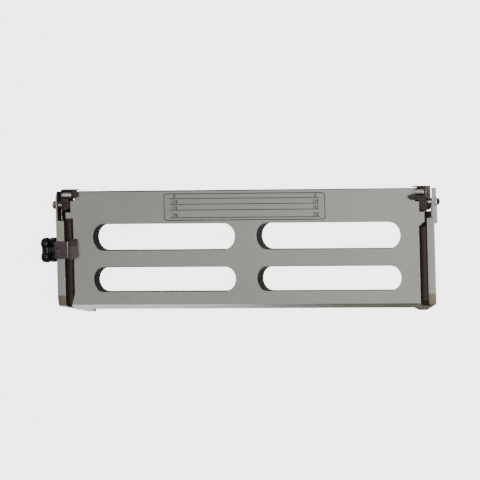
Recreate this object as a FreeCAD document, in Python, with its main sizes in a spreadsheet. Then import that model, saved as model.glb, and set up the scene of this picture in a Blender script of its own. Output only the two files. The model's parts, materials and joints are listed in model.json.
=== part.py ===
"""Dovetail jig: slotted face plate between two end rails, with a sliding stop and two hold-down levers.

Frame: X along the jig, Y up the face plate, Z out of the face that carries the work.
The jig lies on the backs of its rails. The origin is the middle of the underside of its bounding box.
Sizes are in millimetres. A "reach" is a distance inwards from the outer edge of an end rail, a "depth" is a
distance behind the front face, and a "rise" is a distance above the face plate's bottom front edge.
"""
import FreeCAD, Part
import math
import os
from types import SimpleNamespace

import Sketcher

SIZES = {
    # whole jig
    "jig_length": 515.0,
    "face_height": 132.8,
    "face_thick": 14.0,
    "rail_depth": 24.0,
    "bottom_slope": 0.333,
    "edge_break": 0.8,
    "small_break": 0.4,
    "free_gap": 0.3,
    "thread_gap": 0.05,
    "over_cut": 2.0,
    # windows in the face plate
    "window_length": 194.5,
    "lower_window_height": 27.6,
    "upper_window_height": 30.0,
    "window_gap": 29.4,
    "lower_window_floor": 16.4,
    "upper_window_floor": 64.4,
    "window_start": 50.3,
    # end rails
    "left_lip": 11.0,
    "left_groove": 12.5,
    "right_lip": 10.0,
    "right_groove": 11.0,
    "lip_edge": 0.8,
    "groove_depth": 6.5,
    "foot_reach": 27.0,
    "foot_width": 10.3,
    "tail_draft": 1.0,
    "lead_in_height": 12.0,
    "lead_in_depth": 1.6,
    "head_floor": 92.0,
    "head_top": 113.0,
    "left_head_depth": 15.2,
    "right_head_depth": 10.6,
    "pocket_floor": 98.6,
    "pocket_depth": 9.0,
    "web_reach": 9.1,
    "swing_depth": 13.5,
    "ear_thick": 2.6,
    "ear_depth": 8.8,
    "ear_slant_height": 9.0,
    "ear_slant_width": 2.0,
    "ear_land": 1.2,
    "ear_draft": 2.1,
    "tail_top": 126.0,
    # tongues of the face plate beside the levers
    "tongue_reach": 13.3,
    "left_tongue_floor": 101.0,
    "right_tongue_floor": 94.4,
    "right_tongue_bevel": 5.4,
    "left_notch_floor": 109.2,
    "right_notch_floor": 106.0,
    "notch_reach": 20.2,
    "left_notch_step": 122.5,
    "right_notch_step": 118.0,
    "notch_upper_reach": 25.8,
    "left_flare_height": 14.0,
    "left_flare_width": 4.5,
    # pivots
    "pivot_rise": 117.3,
    "pivot_depth": 4.4,
    "pivot_radius": 2.4,
    "pivot_thread": 12.0,
    "washer_radius": 5.0,
    "washer_thick": 1.0,
    "pan_radius": 4.9,
    "pan_height": 4.2,
    "nut_flats": 8.0,
    "nut_height": 3.4,
    "nut_reach": 5.0,
    # levers
    "lever_start": 9.5,
    "lever_width": 10.0,
    "left_lever_floor": 111.0,
    "right_lever_floor": 107.6,
    "lever_heel_height": 2.4,
    "lever_heel_depth": 6.1,
    "lever_corner_width": 5.0,
    "lever_corner_height": 2.6,
    "lever_back": 9.4,
    "lever_top": 135.4,
    "hood_thick": 1.6,
    "hood_front": 1.0,
    "hood_reach": 28.0,
    "back_bar_reach": 24.6,
    "cheek_width": 1.6,
    "cheek_front": 3.0,
    "shelf_floor": 119.4,
    "shelf_front": 2.8,
    "beak_back": 0.4,
    "beak_reach": 33.5,
    "beak_bite": 0.5,
    "left_beak_start": 25.2,
    "bush_radius": 3.6,
    "roller_rise": 128.5,
    "roller_radius": 3.6,
    "roller_length": 12.7,
    "roller_pin_radius": 1.5,
    "roller_pin_head": 2.3,
    "roller_pin_head_height": 0.8,
    "wire_radius": 0.55,
    "spring_near_gap": 0.3,
    "spring_far_gap": 0.5,
    "spring_leg_gap": 1.0,
    "coil_radius": 3.6,
    # groove strips
    "strip_thick": 1.2,
    "strip_rib_width": 3.5,
    "strip_rib_height": 1.3,
    "left_strip_start": 1.0,
    "right_strip_start": 3.6,
    "strip_screw_radius": 1.4,
    "strip_screw_head": 1.75,
    "strip_screw_length": 6.0,
    # screws and dowels between rail and plate
    "rail_screw_radius": 2.0,
    "rail_screw_head": 3.5,
    "rail_screw_head_height": 4.0,
    "rail_screw_sink": 4.6,
    "rail_screw_bite": 8.0,
    "rail_screw_first": 14.0,
    "rail_screw_spacing": 48.0,
    "rail_screw_key": 3.0,
    "dowel_radius": 2.5,
    "dowel_first": 38.0,
    "dowel_spacing": 48.0,
    "dowel_bite": 9.0,
    "dowel_tail": 5.0,
    # stop block, finger and gib
    "stop_floor": 54.6,
    "stop_height": 20.3,
    "stop_proud": 2.2,
    "stop_wall": 1.5,
    "stop_leg_depth": 14.0,
    "stop_inner_width": 4.3,
    "stop_inner_depth": 4.0,
    "finger_width": 6.0,
    "finger_height": 21.0,
    "finger_depth": 3.6,
    "gib_thick": 0.6,
    "nose_reach": 31.0,
    "nose_floor": 53.0,
    "nose_top": 77.6,
    "nose_back": 0.4,
    "nose_front": 3.9,
    "nose_corner": 3.8,
    "nose_bevel_height": 8.5,
    "stop_screw_radius": 1.25,
    "stop_screw_rim": 0.4,
    "stop_screw_length": 9.0,
    "stop_screw_depth": 1.9,
    "stop_screw_spacing": 12.0,
    # clamp
    "clamp_depth": 5.0,
    "stud_radius": 3.0,
    "stud_tip": 0.8,
    "clamp_play": 0.1,
    "pad_radius": 3.05,
    "knob_reach": 17.0,
    "knob_width": 10.0,
    "knob_lobe_radius": 7.0,
    "knob_lobe_circle": 11.2,
    "knob_hub_radius": 8.6,
    "knob_gap": 0.4,
    "insert_radius": 4.5,
    "insert_length": 9.0,
    # scale plate
    "scale_width": 219.8,
    "scale_height": 31.7,
    "scale_top_gap": 3.4,
    "scale_thick": 0.3,
    "scale_corner": 4.0,
}


class Size:
    """A length together with the spreadsheet expression that gives it."""

    def __init__(self, number, text):
        self.number = number
        self.text = text

    def join(self, other, sign, number):
        return Size(number, f"({self.text} {sign} {other.text})")

    def __add__(self, other):
        other = as_size(other)
        return self.join(other, "+", self.number + other.number)

    def __sub__(self, other):
        other = as_size(other)
        return self.join(other, "-", self.number - other.number)

    def __mul__(self, other):
        other = as_size(other)
        return self.join(other, "*", self.number * other.number)

    def __truediv__(self, other):
        other = as_size(other)
        return self.join(other, "/", self.number / other.number)

    def __neg__(self):
        return Size(-self.number, f"(0 - {self.text})")

    def __rsub__(self, other):
        return as_size(other) - self


def as_size(value):
    return value if isinstance(value, Size) else Size(float(value), f"{float(value):g}")


doc = FreeCAD.newDocument("dovetail_jig")
sheet = doc.addObject("Spreadsheet::Sheet", "Sizes")
for row, (alias, number) in enumerate(SIZES.items(), start=1):
    sheet.set(f"A{row}", alias)
    sheet.set(f"B{row}", f"{number:g}")
    sheet.setAlias(f"B{row}", alias)
doc.recompute()
d = SimpleNamespace(**{alias: Size(number, f"Sizes.{alias}") for alias, number in SIZES.items()})

LEFT, RIGHT = "left", "right"
SIDES = (LEFT, RIGHT)
LIP = {LEFT: d.left_lip, RIGHT: d.right_lip}
SPRING_TURNS = 4
NOTCH_FLOOR = {LEFT: d.left_notch_floor, RIGHT: d.right_notch_floor}
NOTCH_STEP = {LEFT: d.left_notch_step, RIGHT: d.right_notch_step}
HEAD_DEPTH = {LEFT: d.left_head_depth, RIGHT: d.right_head_depth}
LEVER_FLOOR = {LEFT: d.left_lever_floor, RIGHT: d.right_lever_floor}
STRIP_START = {LEFT: d.left_strip_start, RIGHT: d.right_strip_start}
PLATE_REACH = {LEFT: d.left_lip + d.left_groove, RIGHT: d.right_lip + d.right_groove}

middle_x = (d.jig_length + d.nut_reach - d.knob_reach) / 2
middle_y = (d.lever_top - d.rail_depth * d.bottom_slope) / 2


# ---- places in the jig's frame -------------------------------------------------------------------

def at_x(side, reach):
    """X of a point a reach inwards from one rail's outer edge."""
    reach = as_size(reach)
    if side == LEFT:
        return reach - middle_x
    return d.jig_length - reach - middle_x


def span_x(side, near, far):
    """Lower and upper X of the stretch between two reaches."""
    ends = (at_x(side, near), at_x(side, far))
    return ends if side == LEFT else (ends[1], ends[0])


def at_y(rise):
    return as_size(rise) - middle_y


def at_z(depth):
    return d.rail_depth - depth


# ---- sketches and features -----------------------------------------------------------------------

def new_body(label):
    body = doc.addObject("PartDesign::Body", label)
    body.Label = label
    return body


def origin_feature(body, role):
    return next(item for item in body.Origin.OriginFeatures if item.Role == role)


def polygon(points):
    """Closed outline through points, each a pair of Sizes."""
    return ("polygon", [(as_size(across), as_size(up)) for across, up in points])


def circle(across, up, radius):
    return ("circle", (as_size(across), as_size(up), as_size(radius)))


def rectangle(left, right, bottom, top):
    return polygon([(left, bottom), (right, bottom), (right, top), (left, top)])


def obround(left, right, bottom, top):
    """Slot outline with half-round ends on its left and right."""
    return ("obround", tuple(as_size(edge) for edge in (left, right, bottom, top)))


def fix_point(sketch, geometry, point, across, up):
    for kind, place in (("DistanceX", across), ("DistanceY", up)):
        index = sketch.addConstraint(Sketcher.Constraint(kind, -1, 1, geometry, point, place.number))
        sketch.setExpression(f"Constraints[{index}]", place.text)


def draw_polygon(sketch, points):
    spots = [FreeCAD.Vector(across.number, up.number, 0) for across, up in points]
    lines = [sketch.addGeometry(Part.LineSegment(spots[i], spots[(i + 1) % len(spots)]))
             for i in range(len(spots))]
    for i, line in enumerate(lines):
        sketch.addConstraint(Sketcher.Constraint("Coincident", line, 2, lines[(i + 1) % len(lines)], 1))
        fix_point(sketch, line, 1, *points[i])


def draw_circle(sketch, place):
    across, up, radius = place
    ring = Part.Circle(FreeCAD.Vector(across.number, up.number, 0), FreeCAD.Vector(0, 0, 1), radius.number)
    index = sketch.addGeometry(ring)
    fix_point(sketch, index, 3, across, up)
    constraint = sketch.addConstraint(Sketcher.Constraint("Radius", index, radius.number))
    sketch.setExpression(f"Constraints[{constraint}]", radius.text)


def draw_obround(sketch, edges):
    left, right, bottom, top = edges
    radius = (top - bottom) / 2
    centre_up = bottom + radius
    quarter = math.pi / 2
    arcs = []
    for centre, start in ((left + radius, quarter), (right - radius, -quarter)):
        ring = Part.Circle(FreeCAD.Vector(centre.number, centre_up.number, 0), FreeCAD.Vector(0, 0, 1),
                           radius.number)
        arc = sketch.addGeometry(Part.ArcOfCircle(ring, start, start + math.pi))
        fix_point(sketch, arc, 3, centre, centre_up)
        arcs.append(arc)
    low, high = bottom.number, top.number
    starts = ((left + radius).number, (right - radius).number)
    bottom_line = sketch.addGeometry(Part.LineSegment(FreeCAD.Vector(starts[0], low, 0),
                                                      FreeCAD.Vector(starts[1], low, 0)))
    top_line = sketch.addGeometry(Part.LineSegment(FreeCAD.Vector(starts[1], high, 0),
                                                   FreeCAD.Vector(starts[0], high, 0)))
    for first, end, second, start in ((arcs[0], 2, bottom_line, 1), (bottom_line, 2, arcs[1], 1),
                                      (arcs[1], 2, top_line, 1), (top_line, 2, arcs[0], 1)):
        sketch.addConstraint(Sketcher.Constraint("Tangent", first, end, second, start))
    constraint = sketch.addConstraint(Sketcher.Constraint("Radius", arcs[0], radius.number))
    sketch.setExpression(f"Constraints[{constraint}]", radius.text)


DRAW = {"polygon": draw_polygon, "circle": draw_circle, "obround": draw_obround}


def new_sketch(body, plane, level, outlines):
    """Sketch on one of the body's origin planes, raised to a level along the plane's own axis."""
    sketch = body.newObject("Sketcher::SketchObject", f"{body.Name}_outline")
    sketch.AttachmentSupport = (origin_feature(body, plane), [""])
    sketch.MapMode = "FlatFace"
    level = as_size(level)
    if plane == "XZ_Plane":
        level = -level
    sketch.setExpression(".AttachmentOffset.Base.z", level.text)
    for kind, data in outlines:
        DRAW[kind](sketch, data)
    return sketch


def add(body, plane, outlines, low, high):
    """Pad outlines between two levels along the plane's axis."""
    level = high if plane == "XZ_Plane" else low
    pad = body.newObject("PartDesign::Pad", f"{body.Name}_pad")
    pad.Profile = new_sketch(body, plane, level, outlines)
    pad.setExpression("Length", (as_size(high) - low).text)
    body.Tip = pad
    return pad


def cut(body, plane, outlines, low, high):
    """Pocket outlines between two levels along the plane's axis, and make sure that it removes metal."""
    doc.recompute()
    before = body.Shape.Volume
    level = low if plane == "XZ_Plane" else high
    pocket = body.newObject("PartDesign::Pocket", f"{body.Name}_pocket")
    pocket.Profile = new_sketch(body, plane, level, outlines)
    pocket.setExpression("Length", (as_size(high) - low).text)
    body.Tip = pocket
    doc.recompute()
    if body.Shape.Volume >= before - 1e-6:
        raise RuntimeError(f"a pocket of {body.Label} removes nothing")
    return pocket


def break_edges(body, width, wanted):
    """Chamfer the edges of the finished solid that a test picks."""
    doc.recompute()
    shape = body.Tip.Shape
    names = [f"Edge{i}" for i, edge in enumerate(shape.Edges, start=1) if wanted(edge)]
    chamfer = body.newObject("PartDesign::Chamfer", f"{body.Name}_break")
    chamfer.Base = (body.Tip if body.Tip != chamfer else chamfer.BaseFeature, names)
    chamfer.setExpression("Size", width.text)
    body.Tip = chamfer
    doc.recompute()
    return chamfer


def lies_at_z(edge, height):
    return all(abs(vertex.Z - height.number) < 1e-4 for vertex in edge.Vertexes)


def turned(label, profile, x, y, z):
    """Solid turned about a line along X; profile points are (distance along X, radius)."""
    body = new_body(label)
    revolution = body.newObject("PartDesign::Revolution", f"{label}_turn")
    revolution.Profile = new_sketch(body, "XZ_Plane", 0, [polygon(profile)])
    revolution.ReferenceAxis = (origin_feature(body, "X_Axis"), [""])
    revolution.Angle = 360
    body.Tip = revolution
    place(body, x, y, z)
    return body


def place(item, x, y, z):
    for axis, size in zip("xyz", (x, y, z)):
        item.setExpression(f".Placement.Base.{axis}", as_size(size).text)


def repeat_up(body, features, spacing, count):
    """Repeat features along Y."""
    pattern = body.newObject("PartDesign::LinearPattern", f"{body.Name}_row")
    pattern.Originals = features
    pattern.Direction = (origin_feature(body, "Y_Axis"), [""])
    pattern.setExpression("Length", (spacing * (count - 1)).text)
    pattern.Occurrences = count
    body.Tip = pattern
    return pattern


RAIL_SCREWS = 3
DOWELS = 2
STRIP_SCREWS = 3


def row(first, spacing, count):
    return [first + spacing * i for i in range(count)]


def screw_reach():
    """Line of the rail screws: the middle of the foot under the rail's tail."""
    return d.foot_reach + d.foot_width / 2


# ---- face plate ----------------------------------------------------------------------------------

def oblique_bottom():
    """Outline, in YZ, of all that lies below the oblique bottom."""
    lowest = at_y(-(d.rail_depth * d.bottom_slope))
    below = lowest - d.over_cut
    return polygon([(at_y(0), at_z(0)), (lowest, at_z(d.rail_depth)), (below, at_z(d.rail_depth)),
                    (below, at_z(-d.over_cut)), (at_y(0), at_z(-d.over_cut))])


def plate_outline():
    bottom = at_y(-(d.rail_depth * d.bottom_slope))
    top = at_y(d.face_height)
    left = [
        (at_x(LEFT, PLATE_REACH[LEFT] - d.left_flare_width), bottom),
        (at_x(LEFT, PLATE_REACH[LEFT] - d.left_flare_width), at_y(0)),
        (at_x(LEFT, PLATE_REACH[LEFT]), at_y(d.left_flare_height)),
        (at_x(LEFT, PLATE_REACH[LEFT]), at_y(d.left_tongue_floor)),
        (at_x(LEFT, d.tongue_reach), at_y(d.left_tongue_floor)),
    ]
    right = [
        (at_x(RIGHT, PLATE_REACH[RIGHT]), bottom),
        (at_x(RIGHT, PLATE_REACH[RIGHT]), at_y(d.right_tongue_floor - d.right_tongue_bevel)),
        (at_x(RIGHT, d.tongue_reach), at_y(d.right_tongue_floor)),
    ]
    for side, points in ((LEFT, left), (RIGHT, right)):
        points += [
            (at_x(side, d.tongue_reach), at_y(NOTCH_FLOOR[side])),
            (at_x(side, d.notch_reach), at_y(NOTCH_FLOOR[side])),
            (at_x(side, d.notch_reach), at_y(NOTCH_STEP[side])),
            (at_x(side, d.notch_upper_reach), at_y(NOTCH_STEP[side])),
            (at_x(side, d.notch_upper_reach), top),
        ]
    return polygon(right + left[::-1])


def windows():
    outlines = []
    second_start = d.window_start + d.window_length + d.window_gap
    for start in (d.window_start, second_start):
        for floor, height in ((d.lower_window_floor, d.lower_window_height),
                              (d.upper_window_floor, d.upper_window_height)):
            outlines.append(obround(at_x(LEFT, start), at_x(LEFT, start + d.window_length),
                                    at_y(floor), at_y(floor + height)))
    return outlines


def make_face_plate():
    body = new_body("face_plate")
    back, front = at_z(d.face_thick), at_z(0)
    add(body, "XY_Plane", [plate_outline()] + windows(), back, front)
    cut(body, "YZ_Plane", [oblique_bottom()], at_x(LEFT, 0), at_x(RIGHT, 0))
    screw_holes = []
    for side in SIDES:
        x = at_x(side, screw_reach())
        screw_holes += [circle(x, at_y(y), d.rail_screw_radius + d.thread_gap)
                        for y in row(d.rail_screw_first, d.rail_screw_spacing, RAIL_SCREWS)]
        screw_holes += [circle(x, at_y(y), d.dowel_radius)
                        for y in row(d.dowel_first, d.dowel_spacing, DOWELS)]
        pivot_hole = circle(at_y(d.pivot_rise), at_z(d.pivot_depth), d.pivot_radius + d.thread_gap)
        cut(body, "YZ_Plane", [pivot_hole],
            *span_x(side, d.notch_reach - d.free_gap, d.notch_reach + d.pivot_thread + d.thread_gap))
    cut(body, "XY_Plane", screw_holes, back, back + d.dowel_bite + d.thread_gap)
    break_edges(body, d.edge_break, lambda edge: lies_at_z(edge, front))
    return body


# ---- end rails -----------------------------------------------------------------------------------

def rail_section(side):
    """Rail outline along the rail: front lip, groove floor, tail behind the plate, undercut outer side."""
    lip, plate = LIP[side], PLATE_REACH[side]
    foot_inner = d.foot_reach + d.foot_width
    points = [(0, 0), (lip, 0), (lip, d.groove_depth), (plate, d.groove_depth), (plate, d.face_thick),
              (foot_inner + d.tail_draft, d.face_thick), (foot_inner, d.rail_depth),
              (d.foot_reach, d.rail_depth), (0, d.lip_edge)]
    return polygon([(at_x(side, reach), at_z(as_size(depth))) for reach, depth in points])


def tongue_cut_floor(side):
    if side == LEFT:
        return d.left_tongue_floor
    return d.right_tongue_floor - d.right_tongue_bevel


def make_end_rail(side):
    body = new_body(f"{side}_end_rail")
    lip, plate = LIP[side], PLATE_REACH[side]
    lowest = at_y(-(d.rail_depth * d.bottom_slope))
    front, back = at_z(0), at_z(d.rail_depth)
    over = d.over_cut
    add(body, "XZ_Plane", [rail_section(side)], lowest, at_y(d.tail_top))
    add(body, "XY_Plane", [rectangle(*span_x(side, 0, lip), at_y(d.head_floor), at_y(d.head_top))],
        at_z(HEAD_DEPTH[side]), front)
    ear = polygon([(at_x(side, 0), at_y(d.head_floor)), (at_x(side, d.ear_thick), at_y(d.head_floor)),
                   (at_x(side, d.ear_thick), at_y(d.face_height)),
                   (at_x(side, d.ear_slant_width), at_y(d.face_height)),
                   (at_x(side, 0), at_y(d.face_height - d.ear_slant_height))])
    add(body, "XY_Plane", [ear], at_z(d.ear_depth), front)
    cut(body, "YZ_Plane", [oblique_bottom()], *span_x(side, -over, d.foot_reach + d.foot_width + over))
    cut(body, "XY_Plane", [rectangle(*span_x(side, d.ear_thick, lip), at_y(d.pocket_floor),
                                     at_y(d.face_height + over))], at_z(d.pocket_depth), front + over)
    swing_floor = at_y(NOTCH_FLOOR[side] + d.free_gap)
    cut(body, "XY_Plane", [rectangle(*span_x(side, d.tongue_reach - d.free_gap, plate),
                                     at_y(tongue_cut_floor(side)), at_y(d.face_height + over))],
        back - over, front + over)
    cut(body, "XY_Plane", [rectangle(*span_x(side, d.web_reach, d.tongue_reach), swing_floor,
                                     at_y(d.face_height + over))], at_z(d.swing_depth), front + over)
    head_back = at_z(HEAD_DEPTH[side])
    draft = polygon([(at_x(side, 0), at_z(d.ear_land)), (at_x(side, d.ear_draft), head_back),
                     (at_x(side, -over), head_back), (at_x(side, -over), at_z(d.ear_land))])
    cut(body, "XZ_Plane", [draft], at_y(d.head_floor) - over, at_y(d.face_height + over))
    if side == LEFT:
        flare = rectangle(at_x(side, plate - d.left_flare_width - d.free_gap), at_x(side, plate),
                          lowest - over, at_y(d.left_flare_height + d.free_gap))
        cut(body, "XY_Plane", [flare], at_z(d.face_thick), at_z(d.groove_depth) + over)
    lead_in = polygon([(at_y(d.lead_in_height), front), (at_y(0) - over, at_z(d.lead_in_depth)),
                       (at_y(0) - over, front + over), (at_y(d.lead_in_height), front + over)])
    cut(body, "YZ_Plane", [lead_in], *span_x(side, -over, lip + over))
    cut(body, "YZ_Plane", [circle(at_y(d.pivot_rise), at_z(d.pivot_depth), d.pivot_radius + d.thread_gap)],
        *span_x(side, -over, d.ear_thick + over))
    x = at_x(side, screw_reach())
    holes = [circle(x, at_y(y), d.rail_screw_radius + d.free_gap)
             for y in row(d.rail_screw_first, d.rail_screw_spacing, RAIL_SCREWS)]
    cut(body, "XY_Plane", holes, back - over, at_z(d.face_thick) + over)
    dowels = [circle(x, at_y(y), d.dowel_radius) for y in row(d.dowel_first, d.dowel_spacing, DOWELS)]
    cut(body, "XY_Plane", dowels, at_z(d.face_thick + d.dowel_tail), at_z(d.face_thick) + over)
    sinks = [circle(x, at_y(y), d.rail_screw_head + d.free_gap)
             for y in row(d.rail_screw_first, d.rail_screw_spacing, RAIL_SCREWS)]
    cut(body, "XY_Plane", sinks, back - over, back + d.rail_screw_sink)
    strip_x = at_x(side, lip + (plate - lip) / 2)
    strip_holes = [circle(strip_x, at_y(y), d.strip_screw_radius + d.thread_gap)
                   for y in strip_screw_rises(side)]
    floor = at_z(d.groove_depth)
    cut(body, "XY_Plane", strip_holes, floor - d.strip_screw_length - d.thread_gap, floor + over)
    shortest = d.head_floor.number / 2
    break_edges(body, d.small_break, lambda edge: lies_at_z(edge, front) and edge.Length > shortest)
    return body


def strip_top(side):
    return tongue_cut_floor(side) - d.free_gap


def strip_screw_rises(side):
    """Rises of the strip screws, spread evenly along the strip."""
    start = STRIP_START[side]
    length = strip_top(side) - start
    return [start + length * (2 * i + 1) / (2 * STRIP_SCREWS) for i in range(STRIP_SCREWS)]


# ---- groove strips -------------------------------------------------------------------------------

def make_groove_strip(side):
    """Strip on the groove's floor; the left one narrows beside the plate's flare."""
    body = new_body(f"{side}_groove_strip")
    lip, plate = LIP[side], PLATE_REACH[side]
    middle = lip + (plate - lip) / 2
    floor = at_z(d.groove_depth)
    low, high = at_y(STRIP_START[side]), at_y(strip_top(side))
    near, far = at_x(side, lip + d.free_gap), at_x(side, plate - d.free_gap)
    if side == LEFT:
        narrow = at_x(side, plate - d.left_flare_width - d.free_gap)
        outline = polygon([(near, low), (narrow, low), (far, at_y(d.left_flare_height + d.free_gap)),
                           (far, high), (near, high)])
    else:
        outline = rectangle(far, near, low, high)
    add(body, "XY_Plane", [outline], floor, floor + d.strip_thick)
    rib = span_x(side, middle - d.strip_rib_width / 2, middle + d.strip_rib_width / 2)
    add(body, "XY_Plane", [rectangle(*rib, low, high)], floor, floor + d.strip_thick + d.strip_rib_height)
    holes = [circle(at_x(side, middle), at_y(y), d.strip_screw_head + d.thread_gap)
             for y in strip_screw_rises(side)]
    cut(body, "XY_Plane", holes, floor - d.over_cut, floor + d.strip_thick + d.strip_rib_height + d.over_cut)
    return body


def make_upright_screws(label, x, rises, profile, base_z):
    """Group of identical screws along Z, each a turned solid; profile points are (radius, height)."""
    body = new_body(label)
    turn = body.newObject("PartDesign::Revolution", f"{label}_turn")
    turn.Profile = new_sketch(body, "XZ_Plane", 0, [polygon(profile)])
    turn.ReferenceAxis = (origin_feature(body, "Z_Axis"), [""])
    turn.Angle = 360
    body.Tip = turn
    if len(rises) > 1:
        repeat_up(body, [turn], rises[1] - rises[0], len(rises))
    place(body, x, at_y(rises[0]), base_z)
    return body


def make_strip_screws(side):
    lip, plate = LIP[side], PLATE_REACH[side]
    head_height = d.strip_thick + d.strip_rib_height - d.free_gap
    radius, length = d.strip_screw_radius, d.strip_screw_length
    profile = [(0, -length), (radius, -length), (radius, 0),
               (d.strip_screw_head, 0), (d.strip_screw_head, head_height), (0, head_height)]
    return make_upright_screws(f"{side}_strip_screws", at_x(side, lip + (plate - lip) / 2),
                               strip_screw_rises(side), profile, at_z(d.groove_depth))


def make_rail_screws(side):
    """Socket-head screws that hold a rail to the plate, heads in the rail's back."""
    seat = d.rail_screw_sink
    tip = d.rail_depth - d.face_thick + d.rail_screw_bite
    head_back = seat - d.rail_screw_head_height
    socket = d.rail_screw_key / 2
    socket_floor = head_back + d.rail_screw_head_height / 2
    profile = [(0, socket_floor), (socket, socket_floor),
               (socket, head_back), (d.rail_screw_head, head_back), (d.rail_screw_head, seat),
               (d.rail_screw_radius, seat), (d.rail_screw_radius, tip), (0, tip)]
    return make_upright_screws(f"{side}_rail_screws", at_x(side, screw_reach()),
                               row(d.rail_screw_first, d.rail_screw_spacing, RAIL_SCREWS), profile,
                               at_z(d.rail_depth))


def make_rail_dowels(side):
    radius = d.dowel_radius
    end, bevel = d.dowel_bite, d.small_break
    profile = [(0, -d.dowel_tail), (radius - bevel, -d.dowel_tail), (radius, bevel - d.dowel_tail),
               (radius, end - bevel), (radius - bevel, end), (0, end)]
    return make_upright_screws(f"{side}_rail_dowels", at_x(side, screw_reach()),
                               row(d.dowel_first, d.dowel_spacing, DOWELS), profile, at_z(d.face_thick))


# ---- levers and their pivots ---------------------------------------------------------------------

def right_beak(end, pocket_floor):
    """Beak that reaches inwards under the roller; points are (reach, rise)."""
    root = end - d.beak_bite
    low = d.shelf_floor
    return [(root, low), (d.beak_reach - 4.5, low), (d.beak_reach - 1, low + 2),
            (d.beak_reach, low + 3.5), (d.beak_reach - 1.3, low + 5.4),
            (d.beak_reach - 6.9, low + 6.8), (d.beak_reach - 8.3, pocket_floor), (root, pocket_floor)]


def left_beak():
    """Beak that hangs from the hood beside the roller; points are (reach, rise)."""
    low = d.roller_rise - 3.1
    return [(d.left_beak_start, low), (d.beak_reach - 4, low), (d.beak_reach - 0.9, low + 1.6),
            (d.beak_reach, low + 4), (d.beak_reach - 1.1, low + 6.2), (d.hood_reach, low + 7.6),
            (d.hood_reach, d.lever_top), (d.left_beak_start, d.lever_top)]


def make_lever(side):
    """Lever on its pivot: a trunk with a pocket for the roller, a cheek, a hood and a beak."""
    body = new_body(f"{side}_lever")
    front, over = at_z(0), d.over_cut
    floor = LEVER_FLOOR[side]
    end = d.lever_start + d.lever_width
    roller_gap = d.roller_radius + d.free_gap
    pocket_floor, pocket_top = d.roller_rise - roller_gap, d.lever_top - d.hood_thick
    pocket_back = roller_gap
    trunk = polygon([(at_y(floor), front), (at_y(floor), at_z(d.lever_heel_depth)),
                     (at_y(floor + d.lever_heel_height), at_z(d.lever_back)),
                     (at_y(d.lever_top), at_z(d.lever_back)),
                     (at_y(d.lever_top), front + d.hood_front), (at_y(pocket_top), front + d.hood_front),
                     (at_y(pocket_top), at_z(pocket_back)), (at_y(pocket_floor), at_z(pocket_back)),
                     (at_y(pocket_floor), front + d.shelf_front),
                     (at_y(d.shelf_floor), front + d.shelf_front),
                     (at_y(d.shelf_floor), front)])
    add(body, "YZ_Plane", [trunk], *span_x(side, d.lever_start, end))
    cheek = rectangle(at_y(pocket_floor - d.small_break), at_y(pocket_top + d.small_break),
                      at_z(pocket_back + d.small_break), front + d.cheek_front)
    add(body, "YZ_Plane", [cheek], *span_x(side, d.lever_start, d.lever_start + d.cheek_width))
    bar = rectangle(*span_x(side, end - d.small_break, d.back_bar_reach), at_y(pocket_floor),
                    at_y(d.lever_top))
    add(body, "XY_Plane", [bar], at_z(d.lever_back), at_z(pocket_back))
    hood = rectangle(*span_x(side, end - d.small_break, d.hood_reach), at_y(pocket_top + d.free_gap),
                     at_y(d.lever_top))
    add(body, "XY_Plane", [hood], at_z(d.lever_back), front + d.hood_front)
    beak_points = left_beak() if side == LEFT else right_beak(end, pocket_floor)
    beak = polygon([(at_x(side, reach), at_y(rise)) for reach, rise in beak_points])
    add(body, "XY_Plane", [beak], front + d.beak_back, front + d.shelf_front)
    corner_start = end - d.lever_corner_width
    corner_top = at_y(floor + d.lever_corner_height)
    corner = polygon([(at_x(side, end + over), at_y(floor - over)),
                      (at_x(side, corner_start), at_y(floor - over)), (at_x(side, corner_start), at_y(floor)),
                      (at_x(side, end), corner_top), (at_x(side, end + over), corner_top)])
    cut(body, "XY_Plane", [corner], at_z(d.lever_back) - over, front + over)
    cut(body, "YZ_Plane", [circle(at_y(d.pivot_rise), at_z(d.pivot_depth), d.bush_radius)],
        *span_x(side, d.lever_start - over, end + over))
    cut(body, "YZ_Plane", [circle(at_y(d.roller_rise), front, d.roller_pin_radius)],
        *span_x(side, d.lever_start - over, d.lever_start + d.cheek_width + over))
    return body


def on_pivot(label, side, profile):
    """Turned piece on the pivot line; profile points are (reach, radius)."""
    points = [(at_x(side, reach), as_size(radius)) for reach, radius in profile]
    return turned(label, points, 0, at_y(d.pivot_rise), at_z(d.pivot_depth))


def tube(near, far, inner, outer):
    return [(near, inner), (far, inner), (far, outer), (near, outer)]


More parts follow.
